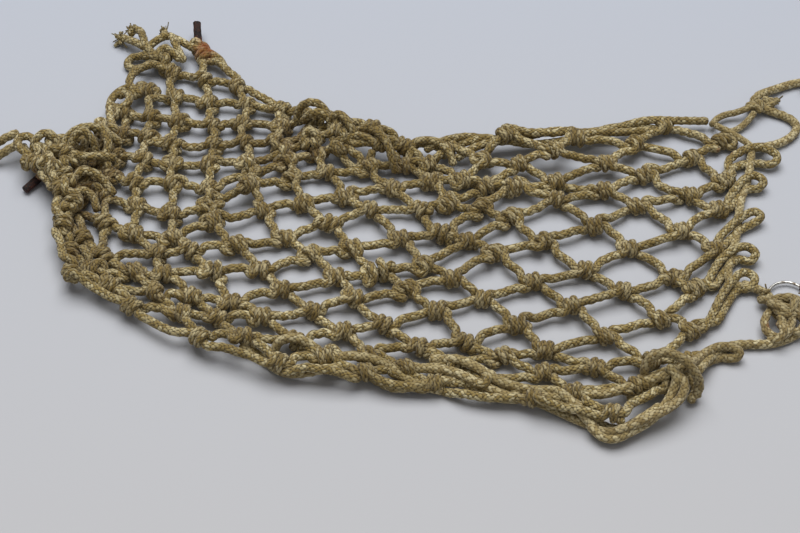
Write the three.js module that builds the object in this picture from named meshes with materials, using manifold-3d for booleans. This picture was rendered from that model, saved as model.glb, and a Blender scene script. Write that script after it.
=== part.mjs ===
// Helmet net: a knotted net of braided cord, laid out in one layer on a flat surface, with the
// draw cord that gathers its edges, two short iron hook rods and a small wire ring.
// Millimetres, +Z up; z = 0 is the surface that the net lies on.
import * as THREE from 'three';
import { mergeVertices } from 'three/addons/utils/BufferGeometryUtils.js';
import Module from 'manifold-3d';

const wasm = await Module();
wasm.setup();

// Driving sizes
const CORD = 3.4; // the net's braided cord
const DRAW = 3.5; // the smoother draw cord, tails and loops
const CLEAR = 0.3; // between pieces that touch
const CORD_SIDES = 8;
const CORD_STEP = 2.5; // diameters between two rings of a cord
const MESH_BAR = 17; // one mesh bar, knot to knot
const GAP_SHARE = 0.8; // a gap's reach from its middle towards the four knots round it
const FACETS_LONG = 2; // facets to a section, along the net
const FACETS_WIDE = 20; // facets across the net
const KNOT_FACETS = [12, 8]; // round a knot's lump, and from top to bottom
const CENTRE = { x: -6, y: 24 }; // middle of the net's outline in the layout below

// The net from its left end to its right one. A row is a line of knots across it, from the near
// edge to the far edge; bow is how far its middle bulges to the right, and open how much wider
// the meshes are in the middle than at the bunched edges.
const SECTIONS = [
  { near: [-111, 105], far: [-90, 120], bow: 0, open: 0 },
  { near: [-115, 97], far: [-79, 115], bow: 0, open: 0 },
  { near: [-115, 89], far: [-72, 107], bow: 0, open: 0 },
  { near: [-114, 80], far: [-66, 97], bow: 0, open: 0 },
  { near: [-131, 73], far: [-60, 88], bow: 0, open: 0 },
  { near: [-146, 61], far: [-53, 79], bow: 0, open: 0 },
  { near: [-138, 46], far: [-45, 72], bow: 0, open: 0 },
  { near: [-131, 31], far: [-37, 70], bow: 0, open: 0 },
  { near: [-128, 17], far: [-30, 69], bow: 0, open: 0.1 },
  { near: [-125, 5], far: [-23, 64], bow: 0, open: 0.2 },
  { near: [-120, -6], far: [-16, 60], bow: 0, open: 0.2 },
  { near: [-112, -14], far: [-9, 57], bow: 0, open: 0.2 },
  { near: [-102, -21], far: [-3, 51], bow: 0, open: 0.2 },
  { near: [-90, -28], far: [2, 49], bow: 0, open: 0.3 },
  { near: [-77, -37], far: [9, 55], bow: 0, open: 0.3 },
  { near: [-61, -45], far: [20, 58], bow: 0, open: 0.3 },
  { near: [-44, -50], far: [32, 59], bow: 0, open: 0.3 },
  { near: [-27, -54], far: [44, 60], bow: 1, open: 0.3 },
  { near: [-10, -56], far: [55, 61], bow: 2, open: 0.35 },
  { near: [7, -58], far: [66, 63], bow: 2, open: 0.4 },
  { near: [24, -59], far: [78, 66], bow: 3, open: 0.4 },
  { near: [41, -62], far: [91, 69], bow: 4, open: 0.3 },
  { near: [56, -70], far: [104, 71], bow: 5, open: 0.2 },
  { near: [69, -80], far: [115, 73], bow: 6, open: 0.1 },
  { near: [83, -79], far: [124, 75], bow: 8, open: 0 },
  { near: [94, -62], far: [131, 76], bow: 9, open: 0 },
];

// Where the net stands up in folds and bunched rows. along counts sections, across runs from the
// near edge (0) to the far one (1); long and wide are half widths, high is in mm.
const FOLDS = [
  { name: 'left bunch', along: 5.4, across: 0.12, long: 1.9, wide: 0.3, high: 12 },
  { name: 'top end', along: 1.4, across: 0.5, long: 1.5, wide: 0.9, high: 5 },
  { name: 'left crease', along: 10, across: 0.5, long: 1.6, wide: 0.42, high: 4 },
  { name: 'shoulder', along: 10, across: 0.98, long: 5, wide: 0.24, high: 11 },
  { name: 'far bunch', along: 19.5, across: 0.98, long: 5, wide: 0.15, high: 5 },
  { name: 'near bunch', along: 15, across: 0.02, long: 5, wide: 0.12, high: 4 },
  { name: 'corner pouch', along: 23.6, across: 0.03, long: 1.8, wide: 0.16, high: 7 },
];

// The largest gaps, by the section and the row of half meshes that their middle lies on.
const ROWS = 16;
const GAPS = [
  { section: 16, row: 9 },
  { section: 17, row: 6 },
  { section: 18, row: 9 },
  { section: 19, row: 6 },
  { section: 19, row: 8 },
  { section: 19, row: 10 },
  { section: 20, row: 7 },
  { section: 20, row: 9 },
  { section: 21, row: 6 },
  { section: 21, row: 8 },
  { section: 21, row: 10 },
  { section: 22, row: 9 },
];

// Free cords: points on their centre lines, each from where it leaves the net.
const END_LOOP = [
  [133.5, 58.8, 3], [139.6, 59.8, 2.6], [145.5, 61.8, 2], [150, 64.4, 1.8], [153.6, 67.8, 1.8],
  [155.4, 71.5, 1.8], [154.6, 75.2, 1.8], [151.4, 78.2, 1.8], [147.2, 80.2, 2.1],
  [143, 82, 2.8], [140.4, 84.6, 3.4], [142.2, 88, 3.6], [146, 90.8, 3], [150, 93.4, 2.2],
  [154, 95.6, 1.8], [158.2, 97.2, 1.8], [162.4, 98, 1.8],
];
const RING_CORD = [
  [102.4, -53.4, 6], [105.8, -48.2, 4.6], [109.2, -44, 3.1], [113, -40.9, 2.2], [117, -38.9, 1.9],
  [121, -38.4, 1.8], [125, -38.4, 1.8], [129, -38.2, 1.8], [133, -37.2, 1.8],
  [137, -35.4, 1.8], [141, -32.8, 1.8], [145, -29.8, 1.9], [148.2, -26.4, 2.6],
  [148.6, -22.8, 3.8], [145.6, -21, 4.8], [141.4, -21.8, 5.6], [137, -23.4, 6],
  [133.2, -21.8, 5.2], [131.4, -17.6, 4], [129.4, -14.2, 2.8], [126.8, -12, 2.1],
  [123.8, -10.4, 2],
];
const TAIL_FRONT = [
  [-145.6, 56, 8.4], [-150, 54.8, 6.4], [-154, 53.6, 4.2], [-157.6, 52.4, 2.6],
  [-161.4, 51, 1.9], [-165.4, 49.8, 1.8], [-169.4, 49.2, 1.8], [-173.4, 49.2, 1.8],
  [-177.4, 49.8, 1.8], [-180.6, 50.4, 2.4],
];
const TAIL_BACK = [
  [-147.6, 61.6, 8.4], [-151.6, 61, 6.8], [-155.2, 60, 4.8], [-158.8, 58.8, 3],
  [-162.6, 57.4, 2], [-166.6, 56, 1.8], [-170.6, 55, 1.8], [-174.6, 54.6, 1.8],
  [-178.4, 54.6, 1.8], [-180.8, 54.6, 2.4],
];

// Knots: middle and size of each lump.
const CORNER_KNOT = { at: [96.5, -59.5, 7], size: [18, 14, 14.6] };
const LOOP_KNOT = { at: [139.6, 83.6, 3.4], size: [9, 8, 8] };
const RING_KNOT = { at: [136.4, -27.2, 4.6], size: [14, 15, 12] };
const TAIL_KNOT = { at: [-184.9, 52.4, 2.9], size: [8, 9, 7] };
const FRAYED_LUMPS = [
  { at: [-103.4, 120.3, 3.4], size: [20, 12, 9] },
  { at: [-111.6, 125.4, 2.8], size: [12, 8, 7] },
  { at: [-103, 127.6, 2.8], size: [9, 10, 7] },
];

// The ring and the two rods.
const RING = { at: [139.2, -16, 1.6], radius: 6.9, wire: 1.1, sides: 8, facets: 40 };
const ROD = { diameter: 3.3, sides: 16, bevel: 0.4 };
const HOOK_LEFT = { from: [-142.2, 37.2, 1.8], to: [-134.8, 46.2, 3] };
const HOOK_TOP = { from: [-82.4, 118.2, 2.4], to: [-83.6, 129.4, 6.4] };

const curveThrough = (points) =>
  new THREE.CatmullRomCurve3(points.map((p) => new THREE.Vector3(...p)), false, 'centripetal');

const nearEdge = curveThrough(SECTIONS.map(({ near }) => [...near, 0]));
const farEdge = curveThrough(SECTIONS.map(({ far }) => [...far, 0]));
const lastSection = SECTIONS.length - 1;

function liftAt(along, across) {
  let lift = 0;
  for (const fold of FOLDS) {
    const reach = Math.hypot((along - fold.along) / fold.long, (across - fold.across) / fold.wide);
    if (reach < 1) lift += fold.high * Math.cos((reach * Math.PI) / 2) ** 2;
  }
  return lift;
}

// A column of the table, between two sections.
function sectionValue(column, along) {
  const low = Math.min(Math.floor(along), lastSection - 1);
  return THREE.MathUtils.lerp(SECTIONS[low][column], SECTIONS[low + 1][column], along - low);
}

// A point on the net's underside. across counts meshes, so it runs faster where they are open.
function lay(along, across) {
  const near = nearEdge.getPoint(along / lastSection);
  const far = farEdge.getPoint(along / lastSection);
  const turn = 2 * Math.PI;
  const share = across - (sectionValue('open', along) * Math.sin(turn * across)) / turn;
  const point = near.clone().lerp(far, share);
  const span = far.clone().sub(near).normalize();
  const bulge = sectionValue('bow', along) * 4 * share * (1 - share);
  point.x += span.y * bulge;
  point.y -= span.x * bulge;
  point.z = liftAt(along, across);
  return point;
}

function closedGeometry(positions, triangles) {
  const geometry = new THREE.BufferGeometry();
  geometry.setAttribute('position', new THREE.Float32BufferAttribute(positions, 3));
  geometry.setIndex(triangles);
  geometry.computeVertexNormals();
  return geometry;
}

// The net as one sheet as thick as its cord: a grid of facets over and under, closed at the rim.
function sheetGeometry() {
  const long = lastSection * FACETS_LONG;
  const wide = FACETS_WIDE;
  const positions = [];
  for (const height of [0, CORD]) {
    for (let i = 0; i <= long; i += 1) {
      for (let j = 0; j <= wide; j += 1) {
        const point = lay(i / FACETS_LONG, j / wide);
        positions.push(point.x, point.y, point.z + height);
      }
    }
  }
  const layer = (long + 1) * (wide + 1);
  const under = (i, j) => i * (wide + 1) + j;
  const over = (i, j) => layer + under(i, j);
  const triangles = [];
  const quad = (a, b, c, d) => triangles.push(a, b, c, a, c, d);
  for (let i = 0; i < long; i += 1) {
    for (let j = 0; j < wide; j += 1) {
      quad(over(i, j), over(i + 1, j), over(i + 1, j + 1), over(i, j + 1));
      quad(under(i, j), under(i, j + 1), under(i + 1, j + 1), under(i + 1, j));
    }
    quad(under(i, 0), under(i + 1, 0), over(i + 1, 0), over(i, 0));
    quad(over(i, wide), over(i + 1, wide), under(i + 1, wide), under(i, wide));
  }
  for (let j = 0; j < wide; j += 1) {
    quad(over(0, j), over(0, j + 1), under(0, j + 1), under(0, j));
    quad(under(long, j), under(long, j + 1), over(long, j + 1), over(long, j));
  }
  return closedGeometry(positions, triangles);
}

function solidOf(geometry) {
  const bare = geometry.clone();
  bare.deleteAttribute('normal');
  bare.deleteAttribute('uv');
  const merged = mergeVertices(bare, 1e-3);
  return new wasm.Manifold(new wasm.Mesh({
    numProp: 3,
    vertProperties: new Float32Array(merged.attributes.position.array),
    triVerts: new Uint32Array(merged.index.array),
  }));
}

function geometryOf(solid) {
  const { vertProperties, triVerts } = solid.getMesh();
  return closedGeometry(Array.from(vertProperties), Array.from(triVerts));
}

// A prism through the sheet, its four corners set in from the four knots round a gap.
function gapGeometry({ section, row }) {
  const middle = lay(section, row / ROWS);
  const knots = [
    lay(section - 1, row / ROWS), lay(section, (row - 1) / ROWS),
    lay(section + 1, row / ROWS), lay(section, (row + 1) / ROWS),
  ];
  const outline = new THREE.Shape(knots.map((knot) => new THREE.Vector2(
    THREE.MathUtils.lerp(middle.x, knot.x, GAP_SHARE),
    THREE.MathUtils.lerp(middle.y, knot.y, GAP_SHARE),
  )));
  const prism = new THREE.ExtrudeGeometry(outline, { depth: MESH_BAR, bevelEnabled: false });
  return prism.translate(0, 0, -MESH_BAR / 2);
}

// A cord, or with room added, the space that it takes in a knot it runs through.
function cordGeometry(points, room = 0) {
  const path = curveThrough(points);
  const radius = DRAW / 2 + room;
  const corners = [];
  for (let k = 0; k < CORD_SIDES; k += 1) {
    const angle = ((k + 0.5) * 2 * Math.PI) / CORD_SIDES;
    corners.push(new THREE.Vector2(Math.cos(angle) * radius, Math.sin(angle) * radius));
  }
  const section = new THREE.Shape(corners);
  const steps = Math.ceil(path.getLength() / (CORD_STEP * DRAW));
  return new THREE.ExtrudeGeometry(section, { steps, bevelEnabled: false, extrudePath: path });
}

// A knot's lump: a squashed ball, flat underneath where it lies on the surface.
function lumpSolid({ at, size }) {
  const ball = new THREE.SphereGeometry(0.5, ...KNOT_FACETS);
  ball.scale(...size);
  ball.translate(...at);
  const block = new THREE.BoxGeometry(2 * size[0], 2 * size[1], 2 * size[2]);
  block.translate(at[0], at[1], size[2]);
  return solidOf(ball).intersect(solidOf(block));
}

const object = new THREE.Group();
object.name = 'helmet_net';
object.position.set(-CENTRE.x, -CENTRE.y, 0);

function add(name, geometry, material) {
  const mesh = new THREE.Mesh(geometry, material);
  mesh.name = name;
  object.add(mesh);
  return mesh;
}

const cloth = (color, roughness) => new THREE.MeshStandardMaterial({ color, roughness, metalness: 0 });
const metal = (color, roughness) => new THREE.MeshStandardMaterial({ color, roughness, metalness: 1 });

// A cord that follows the net's rim a little clear of it. before and after are two points of the
// rim, in the order that keeps the net on their left.
function besideRim(point, before, after) {
  const off = DRAW / 2 + RIM_CLEAR;
  const along = after.clone().sub(before).setZ(0).normalize();
  return [point.x + along.y * off, point.y - along.x * off, point.z + DRAW / 2];
}

const DRAW_CORD = { from: 15, to: 25, step: 0.5 }; // sections that the draw cord runs past
const SIDE_CORD = { from: 0.17, to: 0.9, step: 0.07 }; // shares of the right edge
const RIM_STEP = 0.02;
const RIM_CLEAR = 0.75; // from the rim's facets to the cord beside them

const drawRoute = [];
for (let along = DRAW_CORD.from; along <= DRAW_CORD.to; along += DRAW_CORD.step) {
  drawRoute.push(besideRim(lay(along, 0), lay(along - RIM_STEP, 0), lay(along + RIM_STEP, 0)));
}
const sideRoute = [];
for (let across = SIDE_CORD.from; across <= SIDE_CORD.to; across += SIDE_CORD.step) {
  const [before, after] = [lay(lastSection, across - RIM_STEP), lay(lastSection, across + RIM_STEP)];
  sideRoute.push(besideRim(lay(lastSection, across), before, after));
}

// A straight rod with a small bevel at both ends.
function rodGeometry({ from, to }) {
  const [start, end] = [new THREE.Vector3(...from), new THREE.Vector3(...to)];
  const axis = end.clone().sub(start);
  const radius = ROD.diameter / 2;
  const half = axis.length() / 2;
  const profile = [
    [0, -half], [radius - ROD.bevel, -half], [radius, -half + ROD.bevel],
    [radius, half - ROD.bevel], [radius - ROD.bevel, half], [0, half],
  ].map(([x, y]) => new THREE.Vector2(x, y));
  const rod = new THREE.LatheGeometry(profile, ROD.sides);
  rod.applyQuaternion(
    new THREE.Quaternion().setFromUnitVectors(new THREE.Vector3(0, 1, 0), axis.normalize()),
  );
  return rod.translate(...start.add(end).multiplyScalar(0.5).toArray());
}

function ringGeometry(wire) {
  const ring = new THREE.TorusGeometry(RING.radius, wire / 2, RING.sides, RING.facets);
  return ring.translate(...RING.at);
}

// What a knot leaves free round a cord that runs through it.
const roomFor = (points) => solidOf(cordGeometry(points, 2 * CLEAR));

// The net itself, with its largest gaps cut through and room for the corner's knot
let netSolid = solidOf(sheetGeometry());
for (const gap of GAPS) netSolid = netSolid.subtract(solidOf(gapGeometry(gap)));
const cornerRoom = CORNER_KNOT.size.map((side) => side + 3 * CLEAR);
netSolid = netSolid.subtract(lumpSolid({ at: CORNER_KNOT.at, size: cornerRoom }));
add('net_mesh', geometryOf(netSolid), cloth(0xa89660, 0.95));

// Draw cord, side cord and the free cords
add('draw_cord', cordGeometry(drawRoute), cloth(0xb0a070, 0.9));
add('side_cord', cordGeometry(sideRoute), cloth(0xb0a070, 0.9));
add('end_loop', cordGeometry(END_LOOP), cloth(0xa49660, 0.9));
add('ring_cord', cordGeometry(RING_CORD), cloth(0xa89a66, 0.9));
add('tail_front', cordGeometry(TAIL_FRONT), cloth(0xa0905c, 0.9));
add('tail_back', cordGeometry(TAIL_BACK), cloth(0xa0905c, 0.9));

// Knots, each bored for what runs through it
const drawEnd = { at: drawRoute.at(-1), size: new Array(3).fill(DRAW + 4 * CLEAR) };
const cornerKnot = lumpSolid(CORNER_KNOT).subtract(roomFor(drawRoute)).subtract(lumpSolid(drawEnd));
add('corner_knot', geometryOf(cornerKnot), cloth(0x8c7a48, 0.95));
const loopKnot = lumpSolid(LOOP_KNOT).subtract(roomFor(END_LOOP));
add('loop_knot', geometryOf(loopKnot), cloth(0x94824e, 0.95));
const ringKnot = lumpSolid(RING_KNOT)
  .subtract(roomFor(RING_CORD))
  .subtract(solidOf(ringGeometry(RING.wire + 2 * CLEAR)));
add('ring_knot', geometryOf(ringKnot), cloth(0x9a8c58, 0.95));
add('tail_knot', geometryOf(lumpSolid(TAIL_KNOT)), cloth(0x94844e, 0.95));
const frayed = FRAYED_LUMPS.map(lumpSolid).reduce((whole, lump) => whole.add(lump));
add('frayed_knot', geometryOf(frayed), cloth(0x928a58, 0.95));

// Metal
add('wire_ring', ringGeometry(RING.wire), metal(0xb8b8b8, 0.3));
add('hook_left', rodGeometry(HOOK_LEFT), metal(0x2c211e, 0.7));
add('hook_top', rodGeometry(HOOK_TOP), metal(0x3a2420, 0.7));

export default object;
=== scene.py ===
import math
from collections import namedtuple

import bpy
import numpy as np
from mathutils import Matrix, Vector


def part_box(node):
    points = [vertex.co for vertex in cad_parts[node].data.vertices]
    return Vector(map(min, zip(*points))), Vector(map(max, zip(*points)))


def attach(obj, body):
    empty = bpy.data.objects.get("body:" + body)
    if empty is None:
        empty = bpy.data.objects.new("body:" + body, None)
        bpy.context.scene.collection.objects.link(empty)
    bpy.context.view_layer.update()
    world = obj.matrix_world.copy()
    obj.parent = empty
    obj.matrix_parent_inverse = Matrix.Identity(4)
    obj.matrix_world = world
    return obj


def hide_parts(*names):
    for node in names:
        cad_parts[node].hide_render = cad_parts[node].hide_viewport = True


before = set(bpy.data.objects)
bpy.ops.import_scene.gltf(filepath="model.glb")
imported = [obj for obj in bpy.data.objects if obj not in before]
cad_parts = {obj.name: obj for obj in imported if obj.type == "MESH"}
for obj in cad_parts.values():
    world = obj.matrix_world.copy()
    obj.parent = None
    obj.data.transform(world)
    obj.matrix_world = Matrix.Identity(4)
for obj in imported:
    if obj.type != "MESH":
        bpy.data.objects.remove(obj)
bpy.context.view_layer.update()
MM = 0.001

# Camera
# A short tele lens looks along +Y and down at the middle of the net, from arm's length.
VIEW_FROM_ABOVE = math.radians(48)
VIEW_DISTANCE = 0.65
VIEW_MIDDLE = Vector((0.006, -0.024, 0))

bpy.ops.object.camera_add()
camera = bpy.context.object
camera.name = "camera"
camera.data.lens = 80
camera.data.sensor_width = 36
camera.data.clip_start = 0.05
camera.rotation_euler = (math.pi / 2 - VIEW_FROM_ABOVE, 0, 0)
camera.location = VIEW_MIDDLE + VIEW_DISTANCE * Vector(
    (0, -math.cos(VIEW_FROM_ABOVE), math.sin(VIEW_FROM_ABOVE))
)
bpy.context.scene.camera = camera

# Free cords
# The ends of the draw cord, with the knots that hold and end them: a smooth cotton braid that
# leaves the net at the left bunch, at the ring and at the far right corner. It is limp, so it lies
# on the surface and over itself.
LAYOUT_MIDDLE = np.array((-6, 24, 0))
DRAW_CORD = 3.3 * MM
CORD_SIDES = 14
RING_STEP = 0.7 * MM
PLAIT_SWELL = 0.045  # how far the plaits stand out of a cord's round, as a share of its radius
SWELL_LENGTH = 3.4 * MM
END_RING, END_POLE, END_SIZE = 0.35, 0.55, 0.68  # a cord's rounded end, in radii
END_STEP = 0.3 * MM
CORD_GAP = 10 * MM  # in the UV map, between the end of one cord and the start of the next

END_LOOP = [
    (133.5, 58.8, 3), (139.6, 59.8, 2.6), (145.5, 61.8, 2), (150, 64.4, 1.8), (153.6, 67.8, 1.8),
    (155.4, 71.5, 1.8), (154.6, 75.2, 1.8), (151.4, 78.2, 1.8), (147.2, 80.2, 2.1),
    (143, 82, 2.8), (140.4, 84.6, 3.4), (142.2, 88, 3.6), (146, 90.8, 3), (150, 93.4, 2.2),
    (154, 95.6, 1.8), (158.2, 97.2, 1.8), (162.4, 98, 1.8),
]
RING_CORD = [
    (102.4, -53.4, 6), (105.8, -48.2, 4.6), (109.2, -44, 3.1), (113, -40.9, 2.2),
    (117, -38.9, 1.9), (121, -38.4, 1.8), (125, -38.4, 1.8), (129, -38.2, 1.8), (133, -37.2, 1.8),
    (137, -35.4, 1.8), (141, -32.8, 1.8), (145, -29.8, 1.9), (148.2, -26.4, 2.6),
    (148.6, -22.8, 3.8), (145.6, -21, 4.8), (141.4, -21.8, 5.6), (137, -23.4, 6),
    (133.2, -21.8, 5.2), (131.4, -17.6, 4), (129.4, -14.2, 2.8), (126.8, -12, 2.1),
    (123.8, -10.4, 2),
]
TAIL_FRONT = [
    (-145.6, 56, 8.4), (-150, 54.8, 6.4), (-154, 53.6, 4.2), (-157.6, 52.4, 2.6),
    (-161.4, 51, 1.9), (-165.4, 49.8, 1.8), (-169.4, 49.2, 1.8), (-173.4, 49.2, 1.8),
    (-177.4, 49.8, 1.8), (-180.6, 50.4, 2.4),
]
TAIL_BACK = [
    (-147.6, 61.6, 8.4), (-151.6, 61, 6.8), (-155.2, 60, 4.8), (-158.8, 58.8, 3),
    (-162.6, 57.4, 2), (-166.6, 56, 1.8), (-170.6, 55, 1.8), (-174.6, 54.6, 1.8),
    (-178.4, 54.6, 1.8), (-180.8, 54.6, 2.4),
]


def placed(points):
    """Points of the net's layout, in millimetres, brought to the frame in metres."""
    return (np.array(points, float) - LAYOUT_MIDDLE) * MM


def curve_through(points, step):
    """A centripetal curve through points, with a point every step."""
    points = np.asarray(points, float)
    first, last = 2 * points[0] - points[1], 2 * points[-1] - points[-2]
    held = np.vstack((first, points, last))
    knots = np.concatenate(((0,), np.cumsum(np.linalg.norm(np.diff(held, axis=0), axis=1) ** 0.5)))
    made = []
    for k in range(1, len(held) - 2):
        p0, p1, p2, p3 = held[k - 1:k + 3]
        t0, t1, t2, t3 = knots[k - 1:k + 3]
        count = max(3, int(np.linalg.norm(p2 - p1) / step * 2) + 1)
        t = np.linspace(t1, t2, count, endpoint=False)[:, None]
        a1 = (t1 - t) / (t1 - t0) * p0 + (t - t0) / (t1 - t0) * p1
        a2 = (t2 - t) / (t2 - t1) * p1 + (t - t1) / (t2 - t1) * p2
        a3 = (t3 - t) / (t3 - t2) * p2 + (t - t2) / (t3 - t2) * p3
        b1 = (t2 - t) / (t2 - t0) * a1 + (t - t0) / (t2 - t0) * a2
        b2 = (t3 - t) / (t3 - t1) * a2 + (t - t1) / (t3 - t1) * a3
        made.append((t2 - t) / (t2 - t1) * b1 + (t - t1) / (t2 - t1) * b2)
    made.append(points[-1:])
    line = np.vstack(made)
    along = np.concatenate(((0,), np.cumsum(np.linalg.norm(np.diff(line, axis=0), axis=1))))
    even = np.linspace(0, along[-1], max(3, int(round(along[-1] / step)) + 1))
    return np.column_stack([np.interp(even, along, line[:, axis]) for axis in range(3)])


def cord_mesh(name, lines, radii, sides=CORD_SIDES, soils_and_shades=None):
    """A mesh of closed tubes along lines of points, with round ends. The UV map holds the share
    of the way round a cord and the metres along it; the last argument says how far each point
    is darkened, by dirt and by painted shade."""
    corners, faces, around, along, soiled_and_shaded = [], [], [], [], []
    turns = np.arange(sides) * 2 * math.pi / sides
    base = 0
    travelled = 0
    for line, radius, soil_and_shade in zip(lines, radii, soils_and_shades or [0] * len(lines)):
        line = np.asarray(line)
        ahead = np.gradient(line, axis=0)
        ahead /= np.linalg.norm(ahead, axis=1)[:, None]
        across = np.empty_like(line)
        seed = np.cross(ahead[0], (0, 0, 1) if abs(ahead[0][2]) < 0.9 else (1, 0, 0))
        across[0] = seed / np.linalg.norm(seed)
        for k in range(1, len(line)):
            turned = across[k - 1] - ahead[k] * (across[k - 1] @ ahead[k])
            across[k] = turned / np.linalg.norm(turned)
        over = np.cross(ahead, across)
        length = np.concatenate(((0,), np.cumsum(np.linalg.norm(np.diff(line, axis=0), axis=1))))
        size = np.broadcast_to(np.asarray(radius, float), (len(line),))
        # a rounded end: a smaller ring and a pole beyond each end
        ends, poles = (
            (line[0] - beyond * size[0] * ahead[0], line[-1] + beyond * size[-1] * ahead[-1])
            for beyond in (END_RING, END_POLE)
        )
        middle = np.vstack((ends[0], line, ends[1]))
        across = np.vstack((across[:1], across, across[-1:]))
        over = np.vstack((over[:1], over, over[-1:]))
        size = np.concatenate((size[:1] * END_SIZE, size, size[-1:] * END_SIZE))
        length = np.concatenate((length[:1] - END_STEP, length, length[-1:] + END_STEP)) + travelled
        wave = 2 * math.pi * length[:, None] / SWELL_LENGTH
        lumps = 1 + PLAIT_SWELL * (np.cos(3 * turns + wave) + np.cos(3 * turns - wave))
        lumps[[0, -1]] = 1
        rings = middle[:, None, :] + (size[:, None] * lumps)[:, :, None] * (
            np.cos(turns)[None, :, None] * across[:, None, :]
            + np.sin(turns)[None, :, None] * over[:, None, :]
        )
        count = len(middle)
        corners.append(rings.reshape(-1, 3))
        corners.append(np.array(poles))
        soil_and_shade = np.broadcast_to(np.asarray(soil_and_shade, float), (len(line),))
        soil_and_shade = np.concatenate((soil_and_shade[:1], soil_and_shade, soil_and_shade[-1:]))
        soiled_and_shaded.append(np.concatenate((np.repeat(soil_and_shade, sides), soil_and_shade[[0, -1]])))
        k, s = np.meshgrid(np.arange(count - 1), np.arange(sides), indexing="ij")
        k, s = k.ravel(), s.ravel()
        after = (s + 1) % sides
        faces += (
            base + np.column_stack((k * sides + s, k * sides + after, (k + 1) * sides + after,
                                    (k + 1) * sides + s))
        ).tolist()
        around.append(np.column_stack((s, s + 1, s + 1, s)).ravel() / sides)
        along.append(np.column_stack((length[k], length[k], length[k + 1], length[k + 1])).ravel())
        start_pole, end_pole = base + count * sides, base + count * sides + 1
        last = base + (count - 1) * sides
        for s in range(sides):
            after = (s + 1) % sides
            faces.append([start_pole, base + after, base + s])
            faces.append([end_pole, last + s, last + after])
            around.append(np.array([s + 0.5, s + 1, s, s + 0.5, s, s + 1]) / sides)
            along.append(np.repeat(length[[0, -1]], 3))
        base += count * sides + 2
        travelled = length[-1] + CORD_GAP
    mesh = bpy.data.meshes.new(name)
    mesh.from_pydata(np.vstack(corners).tolist(), [], faces)
    uv = mesh.uv_layers.new(name="cord")
    uv.data.foreach_set(
        "uv", np.column_stack((np.concatenate(around), np.concatenate(along))).ravel()
    )
    mesh.attributes.new("soil_and_shade", "FLOAT", "POINT").data.foreach_set("value", np.concatenate(soiled_and_shaded))
    mesh.shade_smooth()
    piece = bpy.data.objects.new(name, mesh)
    bpy.context.collection.objects.link(piece)
    return piece


def add_node(tree, kind, values=(), **settings):
    """A shader node with its settings; values pairs a socket's name or number with a value."""
    node = tree.nodes.new(kind)
    for key, value in settings.items():
        setattr(node, key, value)
    for key, value in dict(values).items():
        if isinstance(value, bpy.types.NodeSocket):
            tree.links.new(value, node.inputs[key])
        else:
            node.inputs[key].default_value = value
    return node


def maths(tree, operation, first, second=None, third=None):
    """The result of one sum on values or sockets."""
    values = {k: v for k, v in enumerate((first, second, third)) if v is not None}
    return add_node(tree, "ShaderNodeMath", values, operation=operation).outputs[0]


def ranged(tree, value, low, high, at_low=0, at_high=1):
    """A value that runs from at_low to at_high while another runs from low to high."""
    limits = {0: value, 1: low, 2: high, 3: at_low, 4: at_high}
    return add_node(tree, "ShaderNodeMapRange", limits).outputs[0]


def noise(tree, scale, detail):
    """A noise node fixed to the object."""
    here = add_node(tree, "ShaderNodeTexCoord").outputs["Object"]
    return add_node(tree, "ShaderNodeTexNoise", {"Vector": here, "Scale": scale, "Detail": detail})


def blended(tree, share, first, second, way="MIX"):
    """Two colours mixed by share."""
    values = {0: share, 6: first, 7: second}
    return add_node(tree, "ShaderNodeMix", values, data_type="RGBA", blend_type=way).outputs[2]


def colour(red, green, blue):
    """A colour written in the usual 0 to 255 steps, as the shader wants it."""
    linear = [((c / 255 + 0.055) / 1.055) ** 2.4 for c in (red, green, blue)]
    return (*linear, 1)


def new_group(name, inputs, vectors=()):
    """A shader node group and its input node. Its inputs hold numbers, apart from the vectors."""
    group = bpy.data.node_groups.new(name, "ShaderNodeTree")
    for socket in inputs:
        kind = "NodeSocketVector" if socket in vectors else "NodeSocketFloat"
        group.interface.new_socket(socket, in_out="INPUT", socket_type=kind)
    return group, group.nodes.new("NodeGroupInput")


def finished_group(group, **results):
    """The group, once each of its results has an output socket."""
    for socket in results:
        group.interface.new_socket(socket, in_out="OUTPUT", socket_type="NodeSocketFloat")
    given_out = group.nodes.new("NodeGroupOutput")
    for socket, value in results.items():
        group.links.new(value, given_out.inputs[socket])
    return group


def new_material(name):
    """A material, its node tree and its main shader."""
    material = bpy.data.materials.new(name)
    material.use_nodes = True
    return material, material.node_tree, material.node_tree.nodes["Principled BSDF"]


UNEVEN = 1  # how far the strands wander, as a share of a strand


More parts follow.
